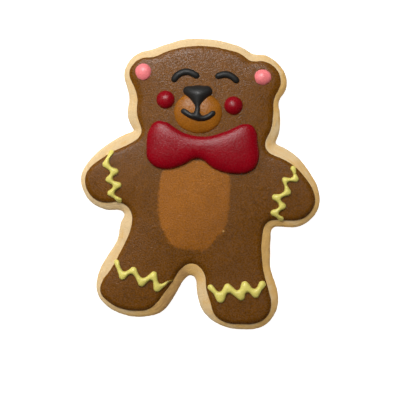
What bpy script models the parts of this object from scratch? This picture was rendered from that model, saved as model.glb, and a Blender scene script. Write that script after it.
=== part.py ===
"""A frosted sugar cookie cut in the shape of a teddy bear, lying on its back, iced face up.

One biscuit carries a flooded coat of brown icing that leaves a bare rim. A caramel belly is
set flush into the brown, and the rest is piped or pooled on top: a muzzle, a nose with its
mouth, two closed eyes, two cheeks, two ear dots, a bow tie and four zigzags.

Metres, with landmarks in millimetres. +Z points out of the iced face and +Y to the head, and
the origin is in the middle of the flat underside. Left and right are as the viewer sees them.
"""

import math

import bmesh
import bpy
from mathutils import Vector

MM = 0.001

# Heights, from the table up.
BISCUIT_THICK = 7.0 * MM
ICING_THICK = 1.7 * MM
BELLY_THICK = 1.0 * MM
GAP = 0.3 * MM
ICING_TOP = BISCUIT_THICK + ICING_THICK
REST_ON_ICING = ICING_TOP + GAP

# How edges round off: how far in, how far up, in how many steps.
BISCUIT_SHOULDER = (2.4 * MM, 1.9 * MM, 3)
BISCUIT_FOOT_BEVEL = 0.7 * MM
ICING_EDGE = (1.3 * MM, 0.9 * MM, 3)
ICING_CROWN = (2.4 * MM, 0.2 * MM, 1)
ICING_SKIRT = 1.4 * MM
BELLY_EDGE = (0.4 * MM, 0.15 * MM, 1)
BOW_WALL = 0.5 * MM
BOW_EDGE = (3.2 * MM, 2.1 * MM, 5)

# The biscuit's edge, counter-clockwise: x and y in millimetres, then how wide the rim is
# there that the brown icing leaves bare.
EDGE = {
    "crown": [(14.8, 49.9, 2.4), (11.4, 51.7, 2.0), (6.5, 53.2, 2.4), (-1.0, 53.9, 2.3),
              (-10.0, 53.4, 2.6), (-15.0, 51.8, 2.3), (-19.7, 49.8, 2.4)],
    "ear left": [(-23.1, 48.1, 2.6), (-27.8, 46.5, 2.0), (-31.6, 42.5, 1.6),
                 (-32.8, 38.0, 1.6), (-30.7, 32.2, 2.2)],
    "cheek left": [(-29.8, 29.0, 2.6), (-30.2, 24.0, 3.2), (-28.9, 19.9, 3.1)],
    "neck left": [(-26.6, 16.9, 2.3)],
    "shoulder left": [(-31.0, 14.9, 3.7), (-35.6, 11.5, 3.1), (-40.1, 7.4, 2.5)],
    "paw left": [(-44.1, 1.8, 1.5), (-45.3, -2.5, 1.3), (-43.3, -8.4, 1.2), (-39.5, -12.1, 1.7),
                 (-34.7, -13.6, 2.4), (-30.0, -13.3, 2.8)],
    "armpit left": [(-27.6, -14.4, 2.3)],
    "side left": [(-28.8, -18.0, 4.0), (-29.3, -24.3, 2.9)],
    "hip left": [(-31.8, -29.7, 3.2), (-34.3, -35.0, 3.3), (-35.7, -40.5, 1.9)],
    "foot left": [(-35.1, -45.5, 1.1), (-31.5, -49.5, 1.4), (-26.8, -51.9, 1.6),
                  (-20.0, -53.0, 2.2), (-14.5, -52.1, 2.4), (-10.2, -50.1, 3.5)],
    "leg left": [(-6.8, -45.4, 3.7), (-3.8, -38.9, 3.0)],
    "crotch": [(-2.3, -36.1, 3.3), (-0.4, -35.1, 4.2), (1.3, -36.0, 3.5)],
    "leg right": [(2.3, -40.5, 3.3), (4.5, -46.9, 3.7)],
    "foot right": [(8.3, -51.0, 2.1), (14.0, -53.4, 1.4), (20.5, -53.9, 1.9),
                   (27.2, -52.8, 2.0), (31.2, -49.1, 1.6), (33.3, -43.5, 2.3)],
    "hip right": [(32.3, -37.3, 2.9), (29.2, -30.5, 2.4)],
    "side right": [(28.5, -24.7, 2.9), (28.1, -18.3, 3.0)],
    "armpit right": [(28.5, -14.4, 2.8)],
    "paw right": [(32.1, -13.7, 2.3), (37.4, -13.3, 2.3), (41.8, -10.7, 1.8),
                  (44.7, -6.6, 1.7), (45.3, -2.7, 1.6), (44.2, 2.0, 1.9)],
    "shoulder right": [(40.5, 7.5, 2.3), (36.2, 12.3, 3.1), (31.6, 15.2, 3.6)],
    "neck right": [(26.2, 17.1, 3.6)],
    "cheek right": [(27.5, 22.5, 2.9), (27.0, 29.0, 2.2), (26.2, 33.5, 1.7)],
    "ear right": [(28.4, 37.8, 2.2), (28.5, 41.5, 2.1), (25.8, 46.3, 1.7), (19.6, 50.1, 2.1)],
}
SHARP_PLACES = ("neck left", "neck right")
OUTLINE_STEPS = 3

BELLY = [(-11.0, 7.0), (-14.4, 3.9), (-15.4, -3.0), (-14.8, -13.0), (-12.0, -20.0),
         (-8.3, -24.7), (-2.0, -25.4), (4.0, -25.2), (7.2, -20.8), (10.4, -16.2),
         (11.2, -8.0), (10.3, 3.0), (7.5, 7.0), (-1.8, 8.3)]
BOW = [(-17.6, 21.8), (-20.8, 19.5), (-21.7, 11.0), (-20.5, 6.3), (-15.0, 3.7), (-8.0, 5.6),
       (-1.8, 9.0), (4.0, 5.8), (11.0, 4.5), (18.8, 6.5), (20.7, 11.0), (19.7, 17.0),
       (18.5, 21.6), (15.5, 23.7), (7.8, 20.3), (0.0, 17.4), (-8.5, 18.1)]
BOW_KNOT = (-1.8, 10.5)
BOW_KNOT_SPREAD = (5.0, 3.6)
BOW_KNOT_DIP = 0.9 * MM
BOW_GRID = 2.6 * MM
LEVEL = 0.97

MUZZLE = {"centre": (-3.6, 26.1), "radii": (9.1, 7.8), "rise": 1.5 * MM}
CHEEKS = {
    "cheek_left": {"centre": (-16.3, 29.8), "radii": (3.4, 3.4), "rise": 1.9 * MM},
    "cheek_right": {"centre": (9.3, 30.0), "radii": (3.5, 3.5), "rise": 2.0 * MM},
}
EAR_DOTS = {
    "ear_dot_left": {"centre": (-25.7, 39.4), "radii": (3.0, 3.2), "rise": 1.2 * MM},
    "ear_dot_right": {"centre": (19.3, 41.7), "radii": (3.2, 3.0), "rise": 1.3 * MM},
}
DOME_SIDES = 24
DOME_RINGS = 10

NOSE = [(-10.1, 34.2), (-8.8, 35.7), (-4.8, 36.4), (-1.5, 36.7), (0.8, 34.8), (0.2, 32.8),
        (-1.7, 30.7), (-3.0, 28.7), (-5.0, 28.7), (-6.6, 30.6), (-9.4, 32.7)]
NOSE_CENTRE = (-4.5, 32.7)
NOSE_FOOT = 8.4 * MM
NOSE_RISE = 3.0 * MM
NOSE_WALL_SHARE = 0.35
NOSE_TURN = 80.0
NOSE_RINGS = 5

# Piped lines: x, y and the line's width in millimetres.
PHILTRUM = [(-4.0, 29.3, 2.1), (-3.9, 27.5, 2.1), (-3.9, 24.8, 2.4)]
MOUTH = [(-9.3, 26.4, 2.2), (-7.7, 25.2, 2.3), (-3.4, 24.1, 2.3), (-0.1, 24.9, 2.3),
         (1.8, 26.9, 2.2)]
EYES = {
    "eye_left": [(-13.9, 37.5, 2.1), (-12.7, 39.4, 2.2), (-9.2, 41.0, 2.2), (-5.4, 39.8, 2.1)],
    "eye_right": [(2.3, 40.4, 2.1), (5.3, 41.4, 2.2), (8.0, 40.6, 2.2), (9.6, 39.4, 2.1)],
}
# The last number lowers a mark towards the bare rim, where a zigzag runs off the icing.
ZIGZAGS = {
    "zigzag_arm_left": [
        (-34.9, 8.4, 1.8, 0.7), (-35.7, 6.2, 1.4), (-36.6, 3.6, 2.6), (-34.8, 2.2, 1.6),
        (-32.6, 1.4, 2.2), (-34.1, -0.2, 1.6), (-35.1, -2.1, 2.4), (-33.2, -3.1, 1.6),
        (-31.0, -3.7, 2.3), (-32.4, -5.4, 1.5), (-33.9, -7.1, 2.4), (-32.1, -8.4, 1.3),
        (-30.2, -9.5, 2.0)],
    "zigzag_arm_right": [
        (33.9, 8.9, 2.2, 0.4), (34.6, 7.0, 1.2), (35.3, 5.0, 2.3), (33.1, 4.6, 1.3),
        (31.1, 4.4, 2.0), (31.7, 2.2, 1.3), (32.8, -0.2, 2.5), (30.4, -1.7, 1.5),
        (28.2, -2.5, 2.4), (29.9, -4.1, 1.5), (31.6, -5.6, 2.4), (30.2, -7.2, 1.5),
        (28.3, -8.4, 2.4), (29.9, -9.6, 1.4), (31.3, -10.5, 2.1, 0.3)],
    "zigzag_leg_left": [
        (-29.3, -32.4, 1.9, 0.5), (-28.2, -34.8, 1.6), (-26.4, -37.9, 2.5),
        (-24.5, -36.2, 1.6), (-22.5, -34.9, 2.5), (-20.9, -37.2, 1.7), (-19.0, -39.7, 2.9),
        (-16.9, -37.8, 1.8), (-14.7, -36.1, 2.5), (-13.9, -38.4, 1.8), (-13.0, -41.2, 2.8),
        (-10.7, -39.7, 1.4), (-7.6, -37.8, 1.0)],
    "zigzag_leg_right": [
        (7.2, -38.8, 2.3), (9.0, -40.3, 1.9), (11.4, -42.6, 3.4), (12.4, -40.2, 2.4),
        (13.5, -38.1, 2.9), (16.1, -39.8, 2.3), (18.9, -41.2, 3.1), (19.2, -38.9, 2.4),
        (19.9, -36.7, 2.9), (22.1, -38.5, 2.1), (24.3, -40.0, 2.8), (25.4, -38.0, 2.2),
        (26.4, -36.0, 2.8)],
}
# Shares of a line's radius: how far its middle lies over the foot, also where it crosses the
# muzzle, and how its tips close.
LINE_LIFT = 0.12
MUZZLE_LINE_LIFT = -0.3
TIP_REACH = 0.75
TIP_RADIUS = 0.45
LINE_STEPS = 3
LINE_SIDES = 3
CAP_WELD = MM / 1000
BEAD_SIDES = 8
BEAD_RINGS = 6
BEAD_FLATNESS = 0.9

BISCUIT = ((0.80, 0.58, 0.30), 0.85)
BROWN = ((0.135, 0.055, 0.012), 0.45)
CARAMEL = ((0.26, 0.095, 0.014), 0.45)
RED = ((0.25, 0.008, 0.014), 0.35)
BLACK = ((0.012, 0.013, 0.016), 0.4)
PINK = ((0.88, 0.22, 0.24), 0.4)
YELLOW = ((0.65, 0.56, 0.13), 0.35)

NAME = "teddy_bear_cookie"
SHARP_ANGLE = math.radians(40)


def clear_scene():
    for old in list(bpy.data.objects):
        bpy.data.objects.remove(old)
    for old in list(bpy.data.collections):
        bpy.data.collections.remove(old)


def new_collection(name):
    collection = bpy.data.collections.new(name)
    bpy.context.scene.collection.children.link(collection)
    return collection


def new_material(name, finish):
    colour, roughness = finish
    material = bpy.data.materials.new(name)
    material.use_nodes = True
    shader = material.node_tree.nodes["Principled BSDF"]
    shader.inputs["Base Color"].default_value = (*colour, 1.0)
    shader.inputs["Roughness"].default_value = roughness
    shader.inputs["Metallic"].default_value = 0.0
    return material


class Workshop:
    """The two collections that the pieces and their cutters are put in."""

    def __init__(self):
        self.parts = new_collection(NAME)
        self.cutters = new_collection(NAME + "_cutters")

    def part(self, name, bm, finish):
        """A visible piece made from bm, in a material of its own."""
        piece = self._place(name, bm, self.parts)
        piece.data.materials.append(new_material(name, finish))
        piece.data.shade_smooth()
        piece.data.set_sharp_from_angle(angle=SHARP_ANGLE)
        return piece

    def cutter(self, name, bm, collection=None):
        """A hidden shape that Booleans use."""
        piece = self._place(name, bm, collection or self.cutters)
        piece.hide_render = True
        piece.display_type = "WIRE"
        return piece

    def cutter_group(self, name, shapes):
        """Hidden shapes in a collection of their own."""
        group = bpy.data.collections.new(name)
        self.cutters.children.link(group)
        for number, bm in enumerate(shapes):
            self.cutter(f"{name}_{number + 1}", bm, group)
        return group

    def _place(self, name, bm, collection):
        bmesh.ops.recalc_face_normals(bm, faces=bm.faces)
        mesh = bpy.data.meshes.new(name)
        bm.to_mesh(mesh)
        bm.free()
        piece = bpy.data.objects.new(name, mesh)
        collection.objects.link(piece)
        return piece


def boolean(piece, operation, other, solver="EXACT"):
    """Joins or cuts the piece with another object, or with all of a collection."""
    modifier = piece.modifiers.new(operation.lower() + " " + other.name, "BOOLEAN")
    modifier.operation = operation
    modifier.solver = solver
    if isinstance(other, bpy.types.Collection):
        modifier.operand_type = "COLLECTION"
        modifier.collection = other
    else:
        modifier.object = other


def bezier(curve, count, sharp=()):
    """A new spline's points, with smooth handles except at the sharp ones."""
    spline = curve.splines.new("BEZIER")
    spline.bezier_points.add(count - 1)
    for index, point in enumerate(spline.bezier_points):
        kind = "VECTOR" if index in sharp else "AUTO"
        point.handle_left_type = kind
        point.handle_right_type = kind
    return spline


def evaluated(curve):
    """The curve as a bmesh, with the curve removed."""
    holder = bpy.data.objects.new(curve.name, curve)
    bpy.context.scene.collection.objects.link(holder)
    graph = bpy.context.evaluated_depsgraph_get()
    mesh = bpy.data.meshes.new_from_object(holder.evaluated_get(graph))
    bm = bmesh.new()
    bm.from_mesh(mesh)
    bpy.data.objects.remove(holder)
    bpy.data.curves.remove(curve)
    bpy.data.meshes.remove(mesh)
    return bm


def curve_points(marks, steps, sharp=()):
    """Points along a smooth closed curve through the marks, with plain corners at sharp."""
    curve = bpy.data.curves.new("outline", "CURVE")
    curve.resolution_u = steps
    spline = bezier(curve, len(marks), sharp)
    spline.use_cyclic_u = True
    for point, mark in zip(spline.bezier_points, marks):
        point.co = (mark[0], mark[1], 0.0)
    bm = evaluated(curve)
    points = [vertex.co.xy for vertex in bm.verts]
    bm.free()
    return points


def inwards(points, index):
    """The unit vector into a counter-clockwise loop at one of its points."""
    before = (points[index] - points[index - 1]).normalized()
    after = (points[(index + 1) % len(points)] - points[index]).normalized()
    along = (before + after).normalized()
    return Vector((-along.y, along.x))


def grown(points, distance):
    """The loop with each point moved outwards."""
    return [point - inwards(points, i) * distance for i, point in enumerate(points)]


def biscuit_outline():
    marks = [Vector(mark[:2]) * MM for place in EDGE.values() for mark in place]
    names = [name for name, place in EDGE.items() for mark in place]
    sharp = [index for index, name in enumerate(names) if name in SHARP_PLACES]
    return curve_points(marks, OUTLINE_STEPS, sharp)


def icing_outline(biscuit):
    """The brown icing's edge: in from each mark on the biscuit's edge by the rim there."""
    rims = [mark[2] * MM for place in EDGE.values() for mark in place]
    marks = []
    for number, rim in enumerate(rims):
        at = number * OUTLINE_STEPS
        marks.append(biscuit[at] + inwards(biscuit, at) * rim)
    return curve_points(marks, OUTLINE_STEPS)


def outline(marks):
    return curve_points([Vector(mark) * MM for mark in marks], OUTLINE_STEPS)


def rounded(reach, rise, count):
    """A quarter round as (inwards, upwards) steps."""
    turns = [math.radians(90.0 * step / count) for step in range(count + 1)]
    spots = [(reach * (1.0 - math.cos(turn)), rise * math.sin(turn)) for turn in turns]
    return [(b[0] - a[0], b[1] - a[1]) for a, b in zip(spots, spots[1:])]


def raise_face(bm, face, height, first=False):
    """Draws the face up to height, with walls below it, and gives the new top face."""
    made = bmesh.ops.extrude_face_region(bm, geom=[face])
    top = next(part for part in made["geom"] if isinstance(part, bmesh.types.BMFace))
    if not first:
        bm.faces.remove(face)
    bmesh.ops.translate(bm, verts=top.verts, vec=(0.0, 0.0, height - top.verts[0].co.z))
    return top


def mound(points, foot, top, *edges):
    """A closed shape on a flat foot: upright walls, then edges rounding inwards to the top."""
    bm = bmesh.new()
    base = bm.faces.new([bm.verts.new((point.x, point.y, foot)) for point in points])
    climb = sum(rise for reach, rise, count in edges)
    face = raise_face(bm, base, top - climb, first=True)
    for reach, rise, count in edges:
        for inset, lift in rounded(reach, rise, count):
            bmesh.ops.inset_region(
                bm, faces=[face], thickness=inset, depth=0.0, use_even_offset=True
            )
            bmesh.ops.translate(bm, verts=face.verts, vec=(0.0, 0.0, lift))
    return bm


def soften_underside(bm):
    """Bevels the edge round the biscuit's flat underside, which lies at zero."""
    low = [edge for edge in bm.edges if edge.verts[0].co.z == edge.verts[1].co.z == 0.0]
    bmesh.ops.bevel(
        bm, geom=low, offset=BISCUIT_FOOT_BEVEL, segments=2, profile=0.5, affect="EDGES"
    )


def dome(centre, radii, rise, grow=0.0):
    """A pooled dot: the upper half of a flattened ball, flat underneath."""
    bm = bmesh.new()
    bmesh.ops.create_uvsphere(bm, u_segments=DOME_SIDES, v_segments=DOME_RINGS, radius=1.0)
    size = (radii[0] * MM + grow, radii[1] * MM + grow, rise + grow)
    bmesh.ops.scale(bm, verts=bm.verts, vec=size)
    place = (centre[0] * MM, centre[1] * MM, REST_ON_ICING)
    bmesh.ops.translate(bm, verts=bm.verts, vec=place)
    cut = bmesh.ops.bisect_plane(
        bm, geom=[*bm.verts, *bm.edges, *bm.faces], plane_co=place,
        plane_no=(0.0, 0.0, -1.0), clear_outer=True,
    )
    rim = [part for part in cut["geom_cut"] if isinstance(part, bmesh.types.BMEdge)]
    bmesh.ops.contextual_create(bm, geom=rim)
    return bm


def muzzle_height(spot):
    """How high the muzzle stands over its foot at a spot given in millimetres."""
    steps = zip(spot, MUZZLE["centre"], MUZZLE["radii"])
    across = sum(((here - middle) / radius) ** 2 for here, middle, radius in steps)
    return MUZZLE["rise"] * math.sqrt(max(0.0, 1.0 - across))


def nose():
    """A rounded triangle, drawn up and in towards its middle."""
    points = outline(NOSE)
    centre = Vector(NOSE_CENTRE) * MM
    bm = bmesh.new()
    face = bm.faces.new([bm.verts.new((point.x, point.y, NOSE_FOOT)) for point in points])
    for ring in range(NOSE_RINGS + 1):
        turn = math.radians(NOSE_TURN * ring / NOSE_RINGS)
        lift = NOSE_RISE * (NOSE_WALL_SHARE + (1.0 - NOSE_WALL_SHARE) * math.sin(turn))
        face = raise_face(bm, face, NOSE_FOOT + lift, first=ring == 0)
        for vertex, point in zip(face.verts, points):
            vertex.co.xy = centre + (point - centre) * math.cos(turn)
    return bm


def piped(marks, over_muzzle=False):
    """A piped line through the marks, as a round tube part sunk in what it lies on."""
    curve = bpy.data.curves.new("line", "CURVE")
    curve.dimensions = "3D"
    curve.bevel_depth = MM
    curve.bevel_resolution = LINE_SIDES
    curve.resolution_u = LINE_STEPS
    curve.use_fill_caps = True
    places = rounded_ends(marks)
    spline = bezier(curve, len(places))
    for point, (spot, radius) in zip(spline.bezier_points, places):
        foot = REST_ON_ICING + LINE_LIFT * radius * MM
        if over_muzzle:
            foot = REST_ON_ICING + muzzle_height(spot) + MUZZLE_LINE_LIFT * radius * MM
        point.co = (spot.x * MM, spot.y * MM, foot)
        point.radius = radius
    bm = evaluated(curve)
    bmesh.ops.remove_doubles(bm, verts=bm.verts, dist=CAP_WELD)
    return bm


def rounded_ends(marks):
    """The marks as (spot, radius), with a small one past each end to round it off."""
    places = [(Vector(mark[:2]), mark[2] / 2) for mark in marks]
    tips = []
    for (spot, radius), (inner, _) in ((places[0], places[1]), (places[-1], places[-2])):
        away = (spot - inner).normalized()
        tips.append((spot + away * radius * TIP_REACH, radius * TIP_RADIUS))
    return [tips[0], *places, tips[1]]


def bead(mark):
    """The corners of a slightly flattened ball at a mark of a zigzag."""
    radius = mark[2] / 2 * MM
    drop = mark[3] * MM if len(mark) > 3 else 0.0
    centre = (mark[0] * MM, mark[1] * MM, REST_ON_ICING - drop + LINE_LIFT * radius)
    bm = bmesh.new()
    bmesh.ops.create_uvsphere(bm, u_segments=BEAD_SIDES, v_segments=BEAD_RINGS, radius=radius)
    bmesh.ops.scale(bm, verts=bm.verts, vec=(1.0, 1.0, BEAD_FLATNESS))
    bmesh.ops.translate(bm, verts=bm.verts, vec=centre)
    corners = [vertex.co.copy() for vertex in bm.verts]
    bm.free()
    return corners


def stroke(start, end):
    """The skin stretched round two neighbouring beads of a zigzag."""
    bm = bmesh.new()
    for corner in bead(start) + bead(end):
        bm.verts.new(corner)
    made = bmesh.ops.convex_hull(bm, input=bm.verts)
    inside = (part for part in made["geom_interior"] if isinstance(part, bmesh.types.BMVert))
    bmesh.ops.delete(bm, geom=list(dict.fromkeys(inside)), context="VERTS")
    return bm


def bow():
    """A puffed pillow, cut into a grid so that its knot can be pressed in."""
    top = REST_ON_ICING + BOW_WALL + BOW_EDGE[1]
    bm = mound(outline(BOW), REST_ON_ICING, top, BOW_EDGE)
    low = min(vertex.co.z for vertex in bm.verts)
    for axis in range(2):
        across = Vector((axis == 0, axis == 1, 0.0))
        reach = max(abs(vertex.co[axis]) for vertex in bm.verts)
        for step in range(-int(reach / BOW_GRID), int(reach / BOW_GRID) + 1):
            bmesh.ops.bisect_plane(
                bm, geom=level_parts(bm), plane_co=across * step * BOW_GRID, plane_no=across
            )
    for vertex in bm.verts:
        if vertex.co.z > low:
            vertex.co.z -= (vertex.co.z - low) / BOW_EDGE[1] * knot_dip(vertex.co)
    return bm


def level_parts(bm):
    """The faces that lie nearly flat, with their edges and corners."""
    faces = [face for face in bm.faces if face.normal.z > LEVEL]
    flat = set(faces)
    edges = [edge for edge in bm.edges if not flat.isdisjoint(edge.link_faces)]
    corners = [vertex for vertex in bm.verts if not flat.isdisjoint(vertex.link_faces)]
    return [*corners, *edges, *faces]


def knot_dip(spot):
    across = (spot.x / MM - BOW_KNOT[0]) / BOW_KNOT_SPREAD[0]
    along = (spot.y / MM - BOW_KNOT[1]) / BOW_KNOT_SPREAD[1]
    return BOW_KNOT_DIP * math.exp(-(across**2) - along**2)


def make_biscuit_and_icing(shop):
    """The biscuit and its brown coat, and the slightly larger copies that keep gaps open."""
    edge = biscuit_outline()
    biscuit = mound(edge, 0.0, BISCUIT_THICK, BISCUIT_SHOULDER)
    soften_underside(biscuit)
    shop.part("cookie", biscuit, BISCUIT)
    over = mound(grown(edge, GAP), -GAP, BISCUIT_THICK + GAP, BISCUIT_SHOULDER)
    biscuit_room = shop.cutter("cookie_room", over)

    coat = icing_outline(edge)
    foot = BISCUIT_THICK - ICING_SKIRT
    icing = shop.part(
        "brown_icing", mound(coat, foot, ICING_TOP, ICING_EDGE, ICING_CROWN), BROWN
    )
    boolean(icing, "DIFFERENCE", biscuit_room)
    over = mound(grown(coat, GAP), foot - GAP, ICING_TOP + GAP, ICING_EDGE, ICING_CROWN)
    return icing, biscuit_room, shop.cutter("icing_room", over)


def make_belly(shop, icing):
    """A caramel patch flush with the brown, in a pocket cut for it."""
    edge = outline(BELLY)
    floor = ICING_TOP - BELLY_THICK
    shop.part("belly_patch", mound(edge, floor, ICING_TOP, BELLY_EDGE), CARAMEL)
    pocket = shop.cutter("belly_pocket", mound(grown(edge, GAP), floor - GAP, ICING_TOP + MM))
    boolean(icing, "DIFFERENCE", pocket)


def make_face(shop, icing_room):
    shop.part("muzzle", dome(**MUZZLE), CARAMEL)
    muzzle_room = shop.cutter("muzzle_room", dome(**MUZZLE, grow=GAP))
    for name, dot in CHEEKS.items():
        shop.part(name, dome(**dot), RED)
    for name, dot in EAR_DOTS.items():
        shop.part(name, dome(**dot), PINK)
    for name, marks in EYES.items():
        eye = shop.part(name, piped(marks), BLACK)
        boolean(eye, "DIFFERENCE", icing_room)

    features = shop.part("nose_mouth", nose(), BLACK)
    for name, marks in (("philtrum", PHILTRUM), ("mouth", MOUTH)):
        line = shop.cutter(name, piped(marks, over_muzzle=True))
        boolean(features, "UNION", line)
    boolean(features, "DIFFERENCE", muzzle_room)
    boolean(features, "DIFFERENCE", icing_room)


def make_zigzags(shop, icing_room, biscuit_room):
    """Each zigzag is its strokes joined, with what would be inside the icing cut away."""
    for name, marks in ZIGZAGS.items():
        pairs = list(zip(marks, marks[1:]))
        zigzag = shop.part(name, stroke(*pairs[0]), YELLOW)
        others = shop.cutter_group(name + "_strokes", [stroke(*pair) for pair in pairs[1:]])
        boolean(zigzag, "UNION", others, "MANIFOLD")
        boolean(zigzag, "DIFFERENCE", icing_room, "MANIFOLD")
        boolean(zigzag, "DIFFERENCE", biscuit_room, "MANIFOLD")


def main():
    clear_scene()
    shop = Workshop()
    icing, biscuit_room, icing_room = make_biscuit_and_icing(shop)
    make_belly(shop, icing)
    make_face(shop, icing_room)
    shop.part("bow_tie", bow(), RED)
    make_zigzags(shop, icing_room, biscuit_room)


main()
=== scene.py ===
"""The looks of a frosted sugar cookie cut as a teddy bear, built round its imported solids.

Each piece takes its outline and its heights from the solid that it stands for. It gets a fine
mesh, the unevenness of baked dough or set icing, and a finish of its own. Metres throughout: +Z
points out of the iced face and +Y to the head. Left and right are as the viewer sees them.
"""

import functools
import math

import bmesh
import bpy
import numpy as np
from bpy.props import FloatProperty, FloatVectorProperty, PointerProperty
from bpy.types import Operator, Panel, PropertyGroup
from mathutils import Euler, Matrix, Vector, noise
from mathutils.kdtree import KDTree


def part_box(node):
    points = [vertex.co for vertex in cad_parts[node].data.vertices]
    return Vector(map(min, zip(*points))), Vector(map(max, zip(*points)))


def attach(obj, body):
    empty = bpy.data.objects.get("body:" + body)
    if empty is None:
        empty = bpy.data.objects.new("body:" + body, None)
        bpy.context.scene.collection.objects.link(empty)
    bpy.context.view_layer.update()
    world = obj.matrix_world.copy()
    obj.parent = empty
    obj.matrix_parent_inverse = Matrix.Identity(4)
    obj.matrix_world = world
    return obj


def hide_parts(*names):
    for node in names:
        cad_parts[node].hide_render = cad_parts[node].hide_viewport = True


bl_info = {
    "name": "Teddy bear sugar cookie",
    "version": (1, 0, 0),
    "blender": (4, 5, 0),
    "location": "3D View > Sidebar > Cookie",
    "description": "Bakes and ices a sugar cookie in the shape of a teddy bear",
    "category": "Add Mesh",
}

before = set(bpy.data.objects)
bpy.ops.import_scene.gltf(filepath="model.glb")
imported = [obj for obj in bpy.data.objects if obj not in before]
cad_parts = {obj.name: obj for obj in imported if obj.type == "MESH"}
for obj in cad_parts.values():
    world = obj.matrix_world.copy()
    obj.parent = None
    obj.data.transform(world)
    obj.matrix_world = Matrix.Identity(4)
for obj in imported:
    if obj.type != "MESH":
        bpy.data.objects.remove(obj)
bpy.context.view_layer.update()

MM = 0.001
BISCUIT_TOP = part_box("cookie")[1].z
ICING_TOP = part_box("brown_icing")[1].z


# Settings.


def length(name, description, default):
    return FloatProperty(
        name=name, description=description, default=default, subtype="DISTANCE", unit="LENGTH",
        precision=5, min=0.0,
    )


def angle(name, description, degrees):
    return FloatProperty(
        name=name, description=description, default=math.radians(degrees), subtype="ANGLE",
        unit="ROTATION",
    )


def colour(name, description, default):
    return FloatVectorProperty(
        name=name, description=description, default=default, subtype="COLOR", size=3, min=0.0,
        max=1.0,
    )


class DoughSettings(PropertyGroup):
    """The baked biscuit."""

    shoulder_reach: length("Shoulder reach", "How far in the top falls to its edge", 4.2 * MM)
    shoulder_rise: length("Shoulder rise", "How far it falls over that reach", 1.7 * MM)
    foot_bevel: length("Foot bevel", "How far in the lower edge is rounded", 0.8 * MM)
    unevenness: length("Unevenness", "How far the baked surface strays", 0.16 * MM)
    crumb: length("Crumb", "How deep the fine crumb is", 0.08 * MM)
    # Pale and golden are mixed partly as painted shade: golden on the rim's sides turned from the
    # lights.
    pale: colour("Pale dough", "Where the dough stayed pale", (0.68, 0.495, 0.265))
    golden: colour("Golden dough", "Where the dough took colour", (0.66, 0.40, 0.128))
    # The baked dough also stands for the deepest painted shade on the rim, and for part of the
    # painted shade at the foot.
    baked: colour("Baked dough", "The foot and the underside, next to the tray", (0.44, 0.25, 0.09))


class IcingSettings(PropertyGroup):
    """The flooded coat and what is piped on it."""

    edge_reach: length("Edge reach", "How far in the coat's edge is round, on the head", 2.9 * MM)
    crown_reach: length("Crown reach", "How far in the coat still rises", 9.0 * MM)
    crown_rise: length("Crown rise", "How much it rises over that reach", 1.7 * MM)
    bow_rise: length("Bow rise", "How high the bow stands", 2.9 * MM)
    nose_rise: length("Nose rise", "How high the nose stands", 3.3 * MM)
    eye_rise: length("Eye rise", "How high the eyes' lines stand", 1.0 * MM)
    zigzag_rise: length("Zigzag rise", "How high the zigzags' knobs stand", 1.45 * MM)
    ripple: length("Ripple", "How far the set surface strays", 0.05 * MM)
    grain: length("Grain", "How deep the fine sugar grain is", 0.08 * MM)
    brown: colour("Brown", "The coat", (0.132, 0.0455, 0.0015))
    caramel: colour("Caramel", "Belly and muzzle", (0.295, 0.099, 0.007))
    black: colour("Black", "Nose, mouth and eyes", (0.0138, 0.0130, 0.0118))
    red: colour("Red", "Bow tie and cheeks", (0.224, 0.001, 0.0062))
    pink: colour("Pink", "Ear dots", (0.80, 0.195, 0.205))
    yellow: colour("Yellow", "Zigzags", (0.655, 0.575, 0.135))
    mustard: colour("Mustard", "Zigzags where the coat shows through", (0.20, 0.125, 0.018))


class StageSettings(PropertyGroup):
    """The camera over the cookie."""

    view_centre: FloatVectorProperty(
        name="View centre", description="The spot under the camera, in plan", size=2,
        default=(0.21 * MM, -6.62 * MM), subtype="XYZ", unit="LENGTH", precision=5,
    )
    view_width: length("View width", "How much the picture spans at the view level", 151.05 * MM)
    view_level: length("View level", "The height at which the view width holds", 6.0 * MM)
    view_turn: angle("View turn", "How far the camera is turned about the upright axis", 5.5)
    view_tilt: angle("View tilt", "How far the camera leans back from over the head", 1.8)
    lens: FloatProperty(
        name="Lens", description="Focal length in millimetres", default=180.0, min=20.0,
        subtype="DISTANCE_CAMERA",
    )


# Shapes in plan.


def smooth_step(values, start, end):
    """From 0 at start to 1 at end, with soft ends."""
    share = np.clip((values - start) / (end - start), 0.0, 1.0)
    return share * share * (3.0 - 2.0 * share)


def away_from(spot, places):
    """How far each place lies in plan from a spot, given as x and y in millimetres."""
    return np.hypot(*(places[:, :2] - np.array(spot) * MM).T)


def middle_and_reach(node):
    """The middle of a solid's box, and half of each of its sides."""
    low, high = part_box(node)
    return (low + high) / 2, (high - low) / 2


def across(node, places):
    """How far out each place lies in plan over a solid: 0 in the middle of its box, 1 at the rim."""
    middle, reach = middle_and_reach(node)
    return np.hypot((places[:, 0] - middle.x) / reach.x, (places[:, 1] - middle.y) / reach.y)


def outline_at(node, height):
    """The longest outline of a solid at a height."""
    bm = bmesh.new()
    bm.from_mesh(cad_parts[node].data)
    bmesh.ops.remove_doubles(bm, verts=bm.verts, dist=MM / 1000)
    return sliced(bm, height)


def sliced(bm, height):
    """The longest outline of a mesh at a height, counter-clockwise, as rows of x and y."""
    cut = bmesh.ops.bisect_plane(
        bm, geom=[*bm.verts, *bm.edges, *bm.faces], plane_co=(0, 0, height), plane_no=(0, 0, 1)
    )
    beside = {}
    for part in cut["geom_cut"]:
        if isinstance(part, bmesh.types.BMEdge):
            first, second = part.verts
            beside.setdefault(first, []).append(second)
            beside.setdefault(second, []).append(first)
    loops = []
    while beside:
        here = next(iter(beside))
        loop = []
        while here is not None:
            loop.append(here.co.xy.copy())
            neighbours = beside.pop(here)
            here = next((vertex for vertex in neighbours if vertex in beside), None)
        loops.append(np.array(loop))
    bm.free()
    longest = max(loops, key=lambda loop: np.ptp(loop, axis=0).sum())
    return longest if enclosed_area(longest) > 0 else longest[::-1]


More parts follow.
